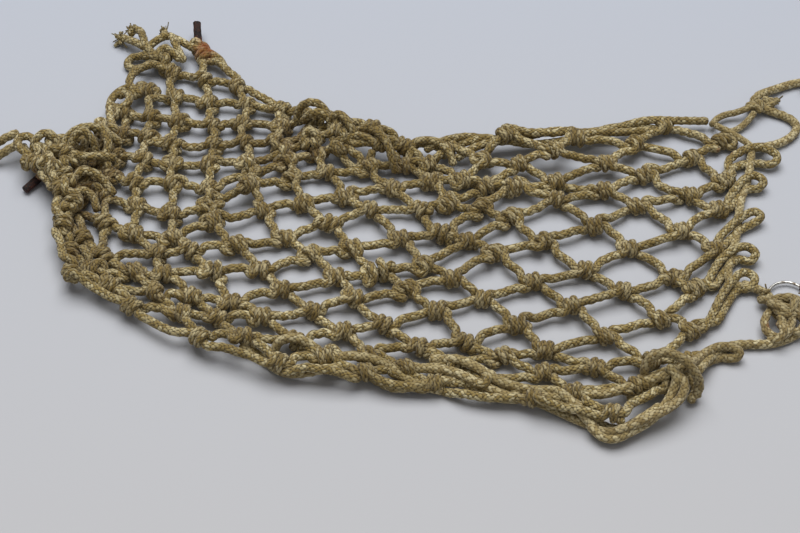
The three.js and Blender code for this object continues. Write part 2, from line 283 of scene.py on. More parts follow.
def braid_group():
    """A flat braid wrapped round a cord: two families of strands that pass over and under, and a
    mask of the gaps between them for painted shade.
    """
    group, given = new_group("braid", ("Round", "Along", "Strands", "Pitch"))
    # the strands are uneven: they wander by part of their own width
    apart = add_node(group, "ShaderNodeSeparateColor", {0: noise(group, 480, 1).outputs["Color"]})
    drift = [
        maths(group, "MULTIPLY_ADD", apart.outputs[channel], UNEVEN, -UNEVEN / 2)
        for channel in ("Red", "Green")
    ]
    turn = maths(group, "MULTIPLY_ADD", given.outputs["Round"], given.outputs["Strands"], drift[0])
    advance = maths(group, "ADD", maths(group, "DIVIDE", given.outputs["Along"],
                                        given.outputs["Pitch"]), drift[1])
    left = maths(group, "ADD", turn, advance)
    right = maths(group, "SUBTRACT", turn, advance)
    left_strand, right_strand = maths(group, "FLOOR", left), maths(group, "FLOOR", right)
    left_share = maths(group, "SUBTRACT", maths(group, "FRACT", left), 0.5)
    right_share = maths(group, "SUBTRACT", maths(group, "FRACT", right), 0.5)
    # the sum of the strands' numbers, odd or even, says which family is on top
    on_top = maths(group, "PINGPONG", maths(group, "ADD", left_strand, right_strand), 1)
    swap = maths(group, "SUBTRACT", 1, on_top)
    across = maths(
        group, "ADD",
        maths(group, "MULTIPLY", left_share, swap), maths(group, "MULTIPLY", right_share, on_top),
    )
    lengthwise = maths(
        group, "ADD",
        maths(group, "MULTIPLY", right_share, swap), maths(group, "MULTIPLY", left_share, on_top),
    )
    narrow = maths(group, "MULTIPLY", maths(group, "MULTIPLY", across, across), 4.2)
    slope = maths(group, "MULTIPLY", maths(group, "MULTIPLY", lengthwise, lengthwise), 2.4)
    crown = maths(group, "SUBTRACT", maths(group, "SUBTRACT", 1, narrow), slope)
    place = add_node(group, "ShaderNodeCombineXYZ", {0: left_strand, 1: right_strand})
    tone = add_node(group, "ShaderNodeTexWhiteNoise", {"Vector": place.outputs[0]},
                    noise_dimensions="2D")
    # the crevice output is painted shade: it marks the gaps between the strands, where shade falls
    return finished_group(
        group, Height=maths(group, "SQRT", maths(group, "MAXIMUM", crown, 0)),
        Crevice=ranged(group, crown, 0.45, -0.2), Tone=tone.outputs["Value"],
    )


def soiling_group():
    """Old dirt in the cloth: broad patches and fine specks."""
    group, given = new_group("soiling", ("Patch", "Speck"))
    broad = noise(group, given.outputs["Patch"], 3).outputs[0]
    fine = noise(group, given.outputs["Speck"], 2).outputs[0]
    return finished_group(
        group, Patches=ranged(group, broad, 0.38, 0.66), Specks=ranged(group, fine, 0.5, 0.72),
    )


def rust_group():
    """Rust that has run into the cloth round one place."""
    group, given = new_group("rust stain", ("Place", "Reach"), vectors=("Place",))
    here = add_node(group, "ShaderNodeTexCoord").outputs["Object"]
    way = add_node(group, "ShaderNodeVectorMath", {0: here, 1: given.outputs["Place"]},
                   operation="DISTANCE")
    ragged = maths(group, "SUBTRACT", noise(group, 260, 3).outputs[0], 0.5)
    share = maths(group, "DIVIDE", way.outputs["Value"], given.outputs["Reach"])
    edge = maths(group, "ADD", share, maths(group, "MULTIPLY", ragged, 1.5))
    return finished_group(group, Mask=ranged(group, edge, 0.25, 1, 1, 0))


BRAID, SOILING, RUST = braid_group(), soiling_group(), rust_group()
STRANDS, BRAID_PITCH = 6, 2 * MM
PATCH_SCALE, SPECK_SCALE = 45, 900
RUST_COLOUR = colour(148, 78, 30)
KNOT_DIRT_AND_SHADE = colour(142, 117, 78)  # darkens the cloth: dirt where it is handled, and painted shade inside the knots and deep in the bunches


def braided_cloth(name, strand, bright, dark, dirt, depth, rust):
    """Braided cotton. strand, bright, dark and dirt are colours, depth is the relief of the braid,
    and rust pairs places with reaches. The bright strands are partly the strands' own tone and
    partly painted highlight, and dark also paints shade into the gaps between the strands."""
    material, tree, shader = new_material(name)
    uv = add_node(tree, "ShaderNodeUVMap", uv_map="cord")
    parts = add_node(tree, "ShaderNodeSeparateXYZ", {0: uv.outputs[0]})
    braid = add_node(
        tree, "ShaderNodeGroup", {"Round": parts.outputs["X"], "Along": parts.outputs["Y"],
                                  "Strands": STRANDS, "Pitch": BRAID_PITCH}, node_tree=BRAID,
    )
    soiling = add_node(
        tree, "ShaderNodeGroup", {"Patch": PATCH_SCALE, "Speck": SPECK_SCALE}, node_tree=SOILING,
    )
    tone = braid.outputs["Tone"]
    # random strands turn towards the bright colour: partly their own tone, partly painted highlight
    shade = blended(tree, ranged(tree, tone, 0.4, 0.9), strand, bright)
    shade = blended(tree, ranged(tree, tone, 0, 0.35, 0.4, 0), shade, dark)
    # the patches and specks are dirt; the crevice mask paints shade into the gaps between the strands
    layers = [
        (soiling.outputs["Patches"], 0.6, dirt), (soiling.outputs["Specks"], 0.3, dark),
        (braid.outputs["Crevice"], 0.75, dark),
    ]
    for mask, strength, tint in layers:
        shade = blended(tree, maths(tree, "MULTIPLY", mask, strength), shade, tint)
    # dirt and painted shade: the attribute darkens the knots and the cord deep in the bunches
    soil_and_shade = add_node(tree, "ShaderNodeAttribute", attribute_name="soil_and_shade").outputs["Fac"]
    shade = blended(tree, soil_and_shade, shade, KNOT_DIRT_AND_SHADE, "MULTIPLY")
    for place, reach in rust:
        stain = add_node(tree, "ShaderNodeGroup", {"Place": place, "Reach": reach}, node_tree=RUST)
        shade = blended(tree, maths(tree, "MULTIPLY", stain.outputs["Mask"], 0.85), shade,
                        RUST_COLOUR)
    tree.links.new(shade, shader.inputs["Base Color"])
    fibres = maths(tree, "MULTIPLY", noise(tree, 2600, 2).outputs[0], 0.5)
    height = maths(tree, "ADD", braid.outputs["Height"], fibres)
    bump = add_node(tree, "ShaderNodeBump", {"Height": height, "Distance": depth, "Strength": 1})
    tree.links.new(bump.outputs[0], shader.inputs["Normal"])
    shader.inputs["Roughness"].default_value = 0.92
    shader.inputs["Specular IOR Level"].default_value = 0.25
    shader.inputs["Sheen Weight"].default_value = 0.18
    shader.inputs["Sheen Roughness"].default_value = 0.5
    return material


draw_cloth = braided_cloth(
    "draw cord cotton", strand=colour(178, 158, 108), bright=colour(222, 208, 164),
    dark=colour(84, 65, 35), dirt=colour(148, 130, 82), depth=0.22 * MM,
    rust=((placed([(130.6, -32.6, 5)])[0], 2.4 * MM),),
)


CLEAR = 1.06  # how high a cord's middle lies at least, in radii, with the plaits' swell


def lifted(line, radius):
    """A line kept on or above the surface."""
    line[:, 2] = np.maximum(line[:, 2], radius * CLEAR)
    return line


OVERHAND_STEPS, OVERHAND_OPEN = 26, 0.35  # the second is the gap at each end, in radians


def overhand(middle, size, heading, lean=0):
    """The line of a plain overhand knot about a point: three lobes, size across, heading and lean
    in degrees, with its ends left short."""
    turn = np.linspace(OVERHAND_OPEN, 2 * math.pi - OVERHAND_OPEN, OVERHAND_STEPS)
    flat = np.column_stack((
        np.sin(turn) + 2 * np.sin(2 * turn), np.cos(turn) - 2 * np.cos(2 * turn),
        -1.5 * np.sin(3 * turn),
    )) / 6 * size
    a, b = math.radians(heading), math.radians(lean)
    tilt = np.array(((1, 0, 0), (0, math.cos(b), -math.sin(b)), (0, math.sin(b), math.cos(b))))
    spin = np.array(((math.cos(a), -math.sin(a), 0), (math.sin(a), math.cos(a), 0), (0, 0, 1)))
    return (flat @ tilt.T @ spin.T + middle).tolist()


TURN_STEPS = 14


def wound(middle, size, turns, dice):
    """A line of cord wound round and round into a bundle, each turn askew to the last."""
    axis = dice.normal(0, 1, 3)
    line = []
    for k in range(turns * TURN_STEPS):
        if k % TURN_STEPS == 0:
            axis = axis * 0.35 + dice.normal(0, 1, 3)
            axis /= np.linalg.norm(axis)
            aside = np.cross(axis, (0, 0, 1) if abs(axis[2]) < 0.8 else (1, 0, 0))
            aside /= np.linalg.norm(aside)
            over = np.cross(axis, aside)
        angle = k * 2 * math.pi / TURN_STEPS
        reach = 1 - 0.12 * (k % 3 == 0)
        way = (math.cos(angle) * aside + math.sin(angle) * over) * reach
        line.append(np.array(middle) + way * np.array(size) / 2)
    return np.array(line[::2]).tolist()


FRAY_STEP = 0.6 * MM
PLAIT_RADIUS, FIBRE_RADII = 0.7, (0.2, 0.32)  # millimetres


def frayed_end(tip, way, dice, strands, fibres, reach):
    """The lines and radii of an unlaid end: a few plaits that spread, with loose fibres."""
    lines, radii = [], []
    tip, way = np.array(tip, float), np.array(way, float)
    way /= np.linalg.norm(way)
    for k in range(strands + fibres):
        thick = k < strands
        drift = way + dice.normal(0, 0.55 if thick else 0.8, 3)
        drift /= np.linalg.norm(drift)
        long = reach * (dice.uniform(0.5, 0.9) if thick else dice.uniform(0.5, 1.1))
        curl = dice.normal(0, 0.6, 3)
        start = tip - way * 1.2 + dice.normal(0, 0.45, 3)
        points = [start + drift * long * s + curl * long * s * s for s in (0, 0.3, 0.6, 0.85, 1)]
        radius = (PLAIT_RADIUS if thick else dice.uniform(*FIBRE_RADII)) * MM
        lines.append(lifted(curve_through(placed(points), FRAY_STEP), radius))
        radii.append(radius)
    return lines, radii


def fitted(piece, material, node):
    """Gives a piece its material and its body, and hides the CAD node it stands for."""
    piece.data.materials.append(material)
    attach(piece, "root")
    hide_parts(node)


KNOT_SIDES = 12


def knotted(name, node, cloth, routes, radius, frays=(), sides=KNOT_SIDES, soil_and_shade=0):
    """A piece made of turns of cord along routes, with unlaid ends, standing for a CAD node."""
    lines = [lifted(curve_through(placed(route), RING_STEP), radius) for route in routes]
    radii = [radius] * len(lines)
    for more_lines, more_radii in frays:
        lines += more_lines
        radii += more_radii
    piece = cord_mesh(name, lines, radii, sides=sides, soils_and_shades=[soil_and_shade] * len(lines))
    fitted(piece, cloth, node)


cord_dice = np.random.default_rng(21)

# the cords that tie the end loop to the net's corner, and its small knots with unlaid ends
LOOP_TIES = (
    [(122, 72, 3), (124.6, 75.4, 3), (128, 77.6, 3), (132, 78.4, 3.4), (136, 79.4, 4.4),
     (139.6, 80.6, 5), (142, 79, 3.6)],
    [(139.2, 77.6, 4), (136.6, 74.6, 2.8), (133.6, 71.8, 2), (130.4, 69.6, 2), (127, 68.4, 2.6)],
    [(123.4, 70.4, 4), (127.4, 67.2, 4.2), (131, 63.6, 4.4), (134, 59.6, 5), (136, 56.6, 5)],
    overhand((140.4, 83, 3.6), 5.4, 40),
    overhand((146, 84.4, 3), 4, 110, 30),
)
knotted(
    "loop_knot_turns", "loop_knot", draw_cloth, LOOP_TIES, 1.3 * MM,
    frays=(
        frayed_end((163.4, 98.2, 2.4), (1, 0.1, 0.25), cord_dice, strands=5, fibres=22, reach=4),
        frayed_end((149.4, 85.4, 3), (1, -0.4, 0.1), cord_dice, strands=3, fibres=8, reach=2.6),
        frayed_end((146.8, 82, 3), (0.4, -1, 0.1), cord_dice, strands=2, fibres=5, reach=2.4),
    ),
)

# the bundle of turns that holds the wire ring
RING_TURNS = (
    wound((136.8, -25.6, 6.4), (9.5, 8.5, 7.5), 4, cord_dice),
    [(128.6, -18.6, 3), (131.6, -21.4, 6), (135.4, -22.6, 8.8), (139.6, -23.4, 9), (143, -26.4, 6)],
    [(131, -25.4, 5), (128.6, -29.6, 4.4), (129, -34, 3.6), (132.4, -36.6, 3.6), (136, -35.2, 4.6),
     (137.6, -31.4, 6.4), (136.4, -27.6, 8)],
    [(130.4, -24, 7.4), (134.4, -27, 9), (139, -28.4, 8.4), (142, -31.6, 5.6), (139.6, -34.4, 4),
     (135.8, -33, 5), (133.6, -29.6, 6.8)],
    [(129.6, -36.6, 2.4), (132.2, -38, 4), (134.4, -35.4, 5.6), (133.4, -31.6, 5.4)],
)
# its turns are darkened a little, by dirt and painted shade
knotted(
    "ring_knot_turns", "ring_knot", draw_cloth, RING_TURNS, 1.5 * MM, soil_and_shade=0.2,
    frays=(
        frayed_end((144.2, -17.6, 6.4), (0.3, 0.8, 0.6), cord_dice, strands=4, fibres=9, reach=3),
        frayed_end((130.6, -16.2, 5), (-0.6, 0.6, 0.5), cord_dice, strands=3, fibres=6, reach=2.6),
    ),
)

# the plain knot that ends the doubled tail
TAIL_TURNS = (overhand((-184.6, 52.6, 3.4), 8.4, 20), overhand((-184.2, 52, 3), 6.6, 130, 50))
knotted("tail_knot_turns", "tail_knot", draw_cloth, TAIL_TURNS, 1.4 * MM)

# node, route, what ends it and what it carries
CORD_FACTS = (
    ("end_loop", END_LOOP, "bare", ("loop_knot_turns",)),
    ("ring_cord", RING_CORD, "object", ("ring_knot_turns", "wire_ring_smooth")),
    ("tail_front", TAIL_FRONT, "knot", ("tail_knot_turns",)),
    ("tail_back", TAIL_BACK, "knot", ("tail_knot_turns",)),
)


# Wire ring
# A ring of thin bright steel wire, butted and soldered, that the ring knot holds. It stands in
# its knot and turns there with the cord.
ring_low, ring_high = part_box("wire_ring")
ring_middle = (ring_low + ring_high) / 2
WIRE = 1.1 * MM
RING_RADIUS = (ring_high.x - ring_low.x - WIRE) / 2
SOLDER_SHARE = 1.35  # how thick the solder is, as a share of the wire
SOLDER_AT, SOLDER_REACH = -100, 7  # degrees round the ring

bpy.ops.object.select_all(action="DESELECT")
bpy.ops.mesh.primitive_torus_add(
    location=ring_middle, major_segments=96, minor_segments=16, major_radius=RING_RADIUS,
    minor_radius=WIRE / 2,
)
ring = bpy.context.object
ring.name = "wire_ring_smooth"
bpy.ops.object.transform_apply(location=True, rotation=True, scale=True)
for corner in ring.data.vertices:
    way = corner.co - ring_middle
    angle = math.degrees(math.atan2(way.y, way.x))
    bead = max(0, 1 - abs(angle - SOLDER_AT) / SOLDER_REACH)
    middle = ring_middle + Vector((way.x, way.y, 0)).normalized() * RING_RADIUS
    corner.co = middle + (corner.co - middle) * (1 + (SOLDER_SHARE - 1) * bead)
bpy.ops.object.shade_smooth()

wire_steel, tree, shader = new_material("bright wire")
tarnish = noise(tree, 420, 4).outputs[0]
steel = blended(tree, ranged(tree, tarnish, 0.52, 0.68), colour(214, 212, 206), colour(112, 96, 78))
tree.links.new(steel, shader.inputs["Base Color"])
tree.links.new(ranged(tree, tarnish, 0.4, 0.7, 0.2, 0.5), shader.inputs["Roughness"])
shader.inputs["Metallic"].default_value = 1
fitted(ring, wire_steel, "wire_ring")

# the free cords themselves, now that the knots and the ring on them are made
for name, route, far_end, carried in CORD_FACTS:
    line = lifted(curve_through(placed(route), RING_STEP), DRAW_CORD / 2)
    piece = cord_mesh(name + "_braid", [line], [DRAW_CORD / 2])
    fitted(piece, draw_cloth, name)


# Hook rods
# Two short lengths of iron rod, what is left of the net's fastening hooks: black with rust,
# pitted, with their edges worn round, and caught in the net by their lower ends.
ROD = 3.3 * MM
ROD_ENDS = (
    ("hook_left", (-142.2, 37.2, 1.8), (-134.8, 46.2, 3)),
    ("hook_top", (-82.4, 118.2, 2.4), (-83.6, 129.4, 6.4)),
)
rod_iron, tree, shader = new_material("rusty iron rod")
flakes, grains = noise(tree, 330, 5).outputs[0], noise(tree, 1400, 4).outputs[0]
rust = blended(tree, ranged(tree, flakes, 0.42, 0.62), colour(27, 18, 16), colour(68, 35, 25))
fresh = maths(tree, "MULTIPLY", ranged(tree, grains, 0.56, 0.7), 0.6)
rust = blended(tree, fresh, rust, colour(126, 66, 34))
tree.links.new(rust, shader.inputs["Base Color"])
pits = add_node(tree, "ShaderNodeBump", {"Height": maths(tree, "ADD", flakes, grains),
                                         "Distance": 0.5 * MM, "Strength": 1})
tree.links.new(pits.outputs[0], shader.inputs["Normal"])
shader.inputs["Roughness"].default_value = 0.78

rust_lumps = bpy.data.textures.new("rust lumps", "CLOUDS")
rust_lumps.noise_scale = 1.6 * MM
for name, foot, head in ROD_ENDS:
    foot, head = (Vector(placed([end])[0]) for end in (foot, head))
    bpy.ops.object.select_all(action="DESELECT")
    bpy.ops.mesh.primitive_cylinder_add(
        vertices=20, radius=ROD / 2 * 0.96, depth=(head - foot).length, end_fill_type="NGON",
        location=(foot + head) / 2, rotation=(head - foot).to_track_quat("Z", "Y").to_euler(),
    )
    rod = bpy.context.object
    rod.name = name + "_rod"
    bpy.ops.object.transform_apply(location=True, rotation=True, scale=True)
    bevel = rod.modifiers.new("worn ends", "BEVEL")
    bevel.width = 0.45 * MM
    bevel.segments = 3
    bpy.ops.object.modifier_apply(modifier=bevel.name)
    bpy.ops.object.mode_set(mode="EDIT")
    bpy.ops.mesh.select_all(action="SELECT")
    bpy.ops.mesh.quads_convert_to_tris()
    bpy.ops.mesh.subdivide(number_cuts=5)
    bpy.ops.mesh.vertices_smooth(factor=0.5, repeat=2)
    bpy.ops.object.mode_set(mode="OBJECT")
    lumps = rod.modifiers.new("rust", "DISPLACE")
    lumps.texture = rust_lumps
    lumps.texture_coords = "LOCAL"
    lumps.strength = 0.5 * MM
    lumps.mid_level = 0.5
    bpy.ops.object.modifier_apply(modifier=lumps.name)
    bpy.ops.object.shade_smooth()
    fitted(rod, rod_iron, name)


# Net
# One length of braided khaki cotton cord, tied by hand row by row: each row's cord zigzags along
# the net, and a sheet bend joins it to the loop of the row before at every mesh. Soft old cord,
# pulled out flat in the middle and bunched along both edges and at the left end.

# How the net lies: for every second column of knots and the last one, where its marked rows lie,
# in millimetres of the layout, from the near edge to the far one.
Section = namedtuple("Section", "column near low middle high upper far")
SECTIONS = [Section(*row) for row in (
    (0, (-138, 44), (-129, 56), (-113, 68), (-104, 83), (-92, 102), (-80, 113)),
    (2, (-127, 33), (-121, 43), (-109, 54), (-92, 67), (-76, 85), (-62, 93)),
    (4, (-125, 14), (-122, 25), (-100, 39), (-80, 56), (-61, 70), (-46, 81)),
    (6, (-119, -9), (-107, 2), (-85, 23), (-64, 45), (-47, 61), (-35, 71)),
    (8, (-95, -24), (-82, -8), (-70, 18), (-50, 46), (-34, 61), (-24, 68)),
    (10, (-71, -38), (-59, -19), (-43, 11), (-32, 37), (-21, 55), (-11, 60)),
    (12, (-42, -49), (-33, -24), (-18, 7), (-6, 31), (3, 49), (1, 56)),
    (14, (-12, -55), (-6, -31), (10, -2), (19, 22), (25, 40), (17, 56)),
    (16, (14, -58), (23, -39), (36, 2), (42, 31), (44, 46), (39, 60)),
    (18, (45, -62), (53, -43), (66, -5), (73, 28), (78, 48), (70, 63)),
    (20, (71, -75), (88, -47), (98, -7), (103, 23), (112, 52), (100, 70)),
    (21, (90, -66), (101, -42), (110, -6), (119, 25), (124, 50), (125, 73)),
)]
MARKED_ROWS = (0, 4, 8, 11, 14, 16)
# Folds and bunches lift the net off the surface: at which column and what share of the way across,
# how long in columns, how wide as such a share, and how high in millimetres.
Fold = namedtuple("Fold", "column across long wide high")
FOLDS = [Fold(*row) for row in (
    (1, 0.12, 2.6, 0.3, 8), (8, 0.6, 1.4, 0.16, 3), (9.5, 0.97, 3.4, 0.2, 8),
    (16.5, 0.95, 4, 0.18, 4), (12, 0.03, 5, 0.1, 3), (20.3, 0.03, 1.4, 0.16, 5),
)]
ROWS = MARKED_ROWS[-1]  # half meshes across the net
COLUMNS = SECTIONS[-1].column
NET_CORD = 3.2 * MM
KNOT_CORD = 2.3 * MM  # how far apart the turns lie inside a knot, where they are pressed
KNOT_SWELL = 1.3  # how wide a pressed turn is, as a share of that distance
BIG_KNOTS = {(13, 7): 1.4, (7, 9): 1.2, (14, 10): 1.15, (9, 5): 1.15, (16, 12): 1.15}
net_dice = np.random.default_rng(7)


def lay(column, row):
    """A point on the underside of the laid net, in millimetres of the layout. The column and the
    row needn't be whole numbers."""
    columns = [section.column for section in SECTIONS]
    marks = [
        [np.interp(column, columns, [section[k][axis] for section in SECTIONS]) for axis in (0, 1)]
        for k in range(1, 7)
    ]
    flat = [np.interp(row, MARKED_ROWS, [mark[axis] for mark in marks]) for axis in (0, 1)]
    lift = 0
    for fold in FOLDS:
        reach = math.hypot((column - fold.column) / fold.long, (row / ROWS - fold.across) / fold.wide)
        if reach < 1:
            lift += fold.high * math.cos(reach * math.pi / 2) ** 2
    return np.array((*flat, lift))


LOOK_AGAIN = 10  # rounds between two searches for spots that may touch
LOOK_AROUND = 1.6  # how far that search reaches, in sizes
PUSH = 1.2  # how hard spots that overlap are parted, as a share of what they lack
NO_LENGTH = 1e-9


def moved(spots, first, second, move, strength=1):
    """The spots once each pair's move is made, half by either one, where a spot in several pairs
    takes the mean."""
    shift = np.zeros_like(spots)
    pairs = np.zeros(len(spots))
    for ends, part in ((first, move / 2), (second, -move / 2)):
        np.add.at(shift, ends, part)
        np.add.at(pairs, ends, 1)
    return spots + shift / np.maximum(pairs, 1)[:, None] * strength


def settle(spots, links, rest, size, may_touch, rounds, stiff, bends, aims=None, pull=None,
           held=(), ground=None):
    """Moves spots until links have their rest lengths and no two spots are closer than their
    sizes allow. pull draws each spot to its aim; stiff straightens the bends; held ones stay."""
    start = spots
    held = list(held)
    first, second = np.array(links).T
    before, bent, after = np.array(bends).T
    for turn in range(rounds):
        if turn % LOOK_AGAIN == 0:
            gap = np.linalg.norm(spots[:, None] - spots[None], axis=2)
            close = np.argwhere(np.triu(gap < (size[:, None] + size[None]) * LOOK_AROUND, 1))
            near = close[may_touch(close[:, 0], close[:, 1])]
        spots = spots.copy()
        if aims is not None:
            spots += (aims - spots) * pull[:, None]
        spots[bent] += ((spots[before] + spots[after]) / 2 - spots[bent]) * stiff
        way = spots[second] - spots[first]
        length = np.linalg.norm(way, axis=1)
        stretch = (length - rest) / np.maximum(length, NO_LENGTH)
        spots = moved(spots, first, second, way * stretch[:, None])
        way = spots[near[:, 1]] - spots[near[:, 0]]
        length = np.maximum(np.linalg.norm(way, axis=1), NO_LENGTH)
        lack = (size[near[:, 0]] + size[near[:, 1]]) - length
        touching = lack > 0
        parting = way[touching] * (-lack[touching] / length[touching])[:, None]
        spots = moved(spots, *near[touching].T, parting, PUSH)
        if ground is not None:
            spots[:, 2] = np.maximum(spots[:, 2], ground)
        spots[held] = start[held]
    return spots


# The sheet bend in its own axes, in cord diameters: along the two bars that pull on it, aside, and
# up. The near row's cord comes in along the pull, is wound twice round the far row's cord and
# leaves below it; the far row's cord comes in from aside and leaves along the pull.
NEAR_CORD = (
    (-3.6, -0.2, 0), (-2.4, -0.3, 0), (-1.6, -0.7, 0.1), (-0.9, -1, 0.35), (-0.65, -0.3, 1.1),
    (-0.5, 0.7, 0.9), (-0.25, 1.05, 0), (0, 0.3, -0.95), (0.25, -0.8, -0.5), (0.4, -0.95, 0.3),
    (0.55, -0.2, 1.05), (0.65, 0.7, 0.6), (0.75, 0.7, -0.4), (0.9, -0.3, -0.9),
    (1.2, -1.5, -0.6), (1.6, -2.8, -0.2),
)
FAR_CORD = (
    (-2.4, 2.7, 0), (-1.9, 1.6, 0), (-1.55, 0.7, 0), (-1, 0.1, 0), (-0.2, 0, 0), (0.6, 0, 0),
    (1.4, 0.05, 0), (2.6, 0.1, 0), (3.6, 0.1, 0),
)
TEMPLATE_STEP = 0.3  # in cord diameters
TIGHTENED = 0.94  # how much of its slack length the knot keeps when it is pulled tight
TURN_APART = 1.3  # how far along one cord two spots are before they push each other, in diameters


def tightened_knot():
    """The near and the far cord's lines, in cord diameters, once the knot is pulled tight."""
    lines = [curve_through(points, TEMPLATE_STEP) for points in (NEAR_CORD, FAR_CORD)]
    spots = np.vstack(lines)
    count = len(lines[0])
    is_far = np.arange(len(spots)) >= count
    links = np.array([(k, k + 1) for k in range(len(spots) - 1) if k != count - 1])
    rest = np.linalg.norm(spots[links[:, 1]] - spots[links[:, 0]], axis=1) * TIGHTENED
    bends = [(k - 1, k, k + 1) for k in range(1, len(spots) - 1) if k not in (count - 1, count)]
    tight = settle(
        spots, links, rest, np.full(len(spots), 0.5),
        lambda a, b: (is_far[a] != is_far[b]) | (np.abs(a - b) > TURN_APART / TEMPLATE_STEP),
        rounds=160, stiff=0.06, bends=bends, held=(0, count - 1, count, len(spots) - 1),
    )
    return tight[:count], tight[count:]


LEG_REACH = 1.9  # how far from its middle a knot's own shape counts, in cord diameters


def knot_core(line):
    """The stretch of a knot's line that is inside the knot, thinned to a few points."""
    inside = np.flatnonzero(np.linalg.norm(line, axis=1) < LEG_REACH)
    return line[inside[0]:inside[-1] + 1:2]


NEAR_CORE, FAR_CORE = [knot_core(line) for line in tightened_knot()]

# Knots stand where a column and a row of the same parity cross. Where the rows are crowded,
# they are stacked on one another. In millimetres.
SCATTER = 1.1
KNOT_MIDDLE, KNOT_MIDDLE_VARIES = 3, 1.6  # above the surface that the net lies on
STACKED_BELOW = 11  # between every second row
STACK_HEIGHT = 5
knot_at = {}
knot_aims = []
for i in range(COLUMNS + 1):
    for j in range(i % 2, ROWS + 1, 2):
        knot_at[i, j] = len(knot_aims)
        aim = lay(i, j) + (*net_dice.normal(0, SCATTER, 2), 0)
        gap = np.linalg.norm((lay(i, min(j + 1, ROWS)) - lay(i, max(j - 1, 0)))[:2])
        stack = max(0, 1 - gap / STACKED_BELOW) * STACK_HEIGHT * net_dice.random()
        height = KNOT_MIDDLE + net_dice.uniform(0, KNOT_MIDDLE_VARIES) + stack
        knot_aims.append(aim + (0, 0, height))
knot_aims = placed(knot_aims)
KNOTS = len(knot_aims)

# Bars: the cord between two knots, as spots that settle. A row visits its knots from left to
# right, and bows between the knots that end each bar.
KNOT_REACH = 3.1 * MM
KNOT_PULL, BAR_PULL = 0.05, 0.02  # how hard a spot is drawn to where it is aimed
BAR_STEPS, LOOP_STEPS = 6, 9
spots, spot_size, spot_pull = [*knot_aims], [KNOT_REACH] * KNOTS, [KNOT_PULL] * KNOTS
near_knot, next_knot, bar_of = list(range(KNOTS)), [-1] * KNOTS, [-1] * KNOTS
links, link_rest, bends, bars = [], [], [], {}


def add_bar(key, start, end, length, bow, belly=0, steps=BAR_STEPS):
    """A run of spots from one knot to another, or back to the same one, along a bowed line. belly
    parts the two legs of a loop."""
    a, b = np.array(spots[start]), np.array(spots[end])
    inner = []
    for step in range(1, steps):
        share = step / steps
        spots.append(a + (b - a) * share + bow * math.sin(math.pi * share)
                     + belly * math.sin(2 * math.pi * share))
        inner.append(len(spots) - 1)
        spot_size.append(NET_CORD / 2)
        spot_pull.append(BAR_PULL)
        near_knot.append(start if step == 1 else end if step == steps - 1 else -1)
        next_knot.append(start if step == 2 else end if step == steps - 2 else -1)
        bar_of.append(len(bars))
    run = [start, *inner, end]
    for one, other in zip(run, run[1:]):
        links.append((one, other))
        link_rest.append(length / steps)
    bends.extend(zip(run, run[1:], run[2:]))
    bars[key] = inner


def row_knots(row):
    """The knots that a row's cord ties, from left to right, and whether each is a wrap."""
    if row < 0 or row == ROWS:
        return [((i, max(row, 0)), row == ROWS) for i in range(0, COLUMNS + 1, 2)]
    return [((i, row + (i + row) % 2), (i + row) % 2 == 0) for i in range(COLUMNS + 1)]


SLACK_BAR = 12 * MM  # a bar whose knots are closer than this stands up in a loop
LONGEST_BAR = 20 * MM
SHORTEST_RIM_BAR = 16 * MM  # along the first and the last row
BAR_LENGTHS, RIM_LENGTH = (1.01, 1.07), 1.1  # of the way between the two knots
BAR_BOW, RIM_BOWS = 1.2, (1, 4.5)  # to the side, in millimetres
BAR_LIFTS, SLACK_LIFT = (-1, 1.8), 6  # upwards, in millimetres
for row in range(-1, ROWS + 1):
    knots = row_knots(row)
    for (one, _), (other, _) in zip(knots, knots[1:]):
        start, end = knot_at[one], knot_at[other]
        way = knot_aims[end] - knot_aims[start]
        apart = np.linalg.norm(way)
        side = np.array((way[1], -way[0], 0)) / max(apart, NO_LENGTH)
        if row < 0 or row == ROWS:
            outward = side if row < 0 else -side
            length = max(apart * RIM_LENGTH, SHORTEST_RIM_BAR)
            bow = outward * net_dice.uniform(*RIM_BOWS) * MM
        else:
            length = min(max(apart * net_dice.uniform(*BAR_LENGTHS), SLACK_BAR), LONGEST_BAR)
            bow = side * net_dice.normal(0, BAR_BOW) * MM
        slack = max(0, 1 - apart / SLACK_BAR)
        bow = bow + (0, 0, (net_dice.uniform(*BAR_LIFTS) + SLACK_LIFT * slack) * MM)
        add_bar((row, one), start, end, length, bow)

